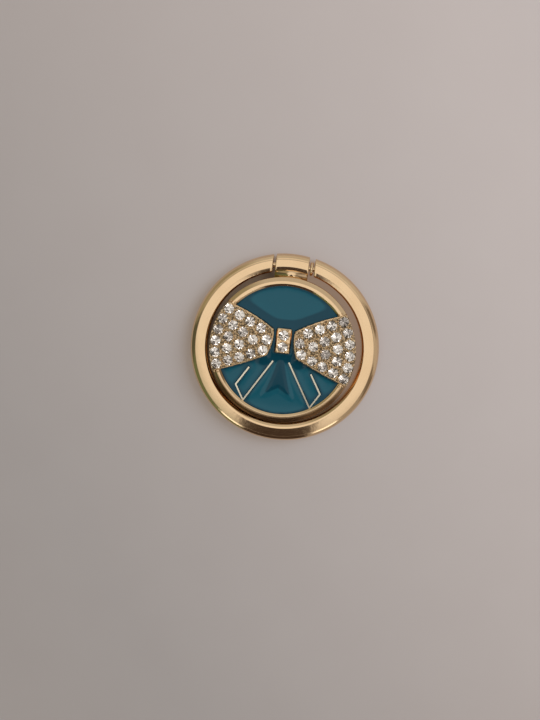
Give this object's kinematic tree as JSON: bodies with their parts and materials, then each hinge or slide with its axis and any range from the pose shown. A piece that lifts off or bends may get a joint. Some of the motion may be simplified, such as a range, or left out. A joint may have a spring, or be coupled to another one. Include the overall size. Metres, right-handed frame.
{
  "type": "phone ring holder",
  "caption": "Round stick-on phone ring holder: gold finger hoop hinged to a swivelling disc with teal enamel and a bow of set stones.",
  "frame": {"origin": "centre of the adhesive face, on the swivel's axis", "axes": "+Z out of the phone along the swivel's axis, +Y towards the hinge, +X along the hinge pin; the hoop lies folded flat round the disc"},
  "size_m": [0.038, 0.038, 0.0052],
  "materials": {
    "gold_plate": "polished pale gold plate",
    "enamel": "glossy dark teal pour",
    "crystal": "cut, foil-backed",
    "adhesive": "matt foam tape",
    "steel": "bright drawn"
  },
  "bodies": {
    "base": {"adhesive_pad": "adhesive", "base_plate": "gold_plate", "disc_spring": "steel"},
    "turntable": {"carrier": "gold_plate", "pivot_rivet": "steel", "hinge_pin": "gold_plate", "face_plate": "gold_plate", "enamel_fill": "enamel", "knot_stone_lower": "crystal", "knot_stone_upper": "crystal", "left_stone_1_1": "crystal", "left_stone_1_2": "crystal", "left_stone_1_3": "crystal", "left_stone_1_4": "crystal", "left_stone_1_5": "crystal", "left_stone_1_6": "crystal", "left_stone_2_1": "crystal", "left_stone_2_2": "crystal", "left_stone_2_3": "crystal", "left_stone_2_4": "crystal", "left_stone_2_5": "crystal", "left_stone_3_1": "crystal", "left_stone_3_2": "crystal", "left_stone_3_3": "crystal", "left_stone_3_4": "crystal", "left_stone_4_1": "crystal", "left_stone_4_2": "crystal", "left_stone_4_3": "crystal", "left_stone_5_1": "crystal", "left_stone_5_2": "crystal", "right_stone_1_1": "crystal", "right_stone_1_2": "crystal", "right_stone_1_3": "crystal", "right_stone_1_4": "crystal", "right_stone_1_5": "crystal", "right_stone_1_6": "crystal", "right_stone_2_1": "crystal", "right_stone_2_2": "crystal", "right_stone_2_3": "crystal", "right_stone_2_4": "crystal", "right_stone_2_5": "crystal", "right_stone_3_1": "crystal", "right_stone_3_2": "crystal", "right_stone_3_3": "crystal", "right_stone_3_4": "crystal", "right_stone_4_1": "crystal", "right_stone_4_2": "crystal", "right_stone_4_3": "crystal", "right_stone_5_1": "crystal", "right_stone_5_2": "crystal"},
    "finger_hoop": {"hoop": "gold_plate"}
  },
  "joints": [
    {"name": "swivel", "type": "hinge", "parent": "base", "child": "turntable", "pos_m": [0, 0, 0.00215], "axis": [0, 0, 1], "continuous": true},
    {"name": "hoop_fold", "type": "hinge", "parent": "turntable", "child": "finger_hoop", "pos_m": [0, 0.01666, 0.0022], "axis": [-1, 0, 0], "range_deg": [0, 180]}
  ]
}
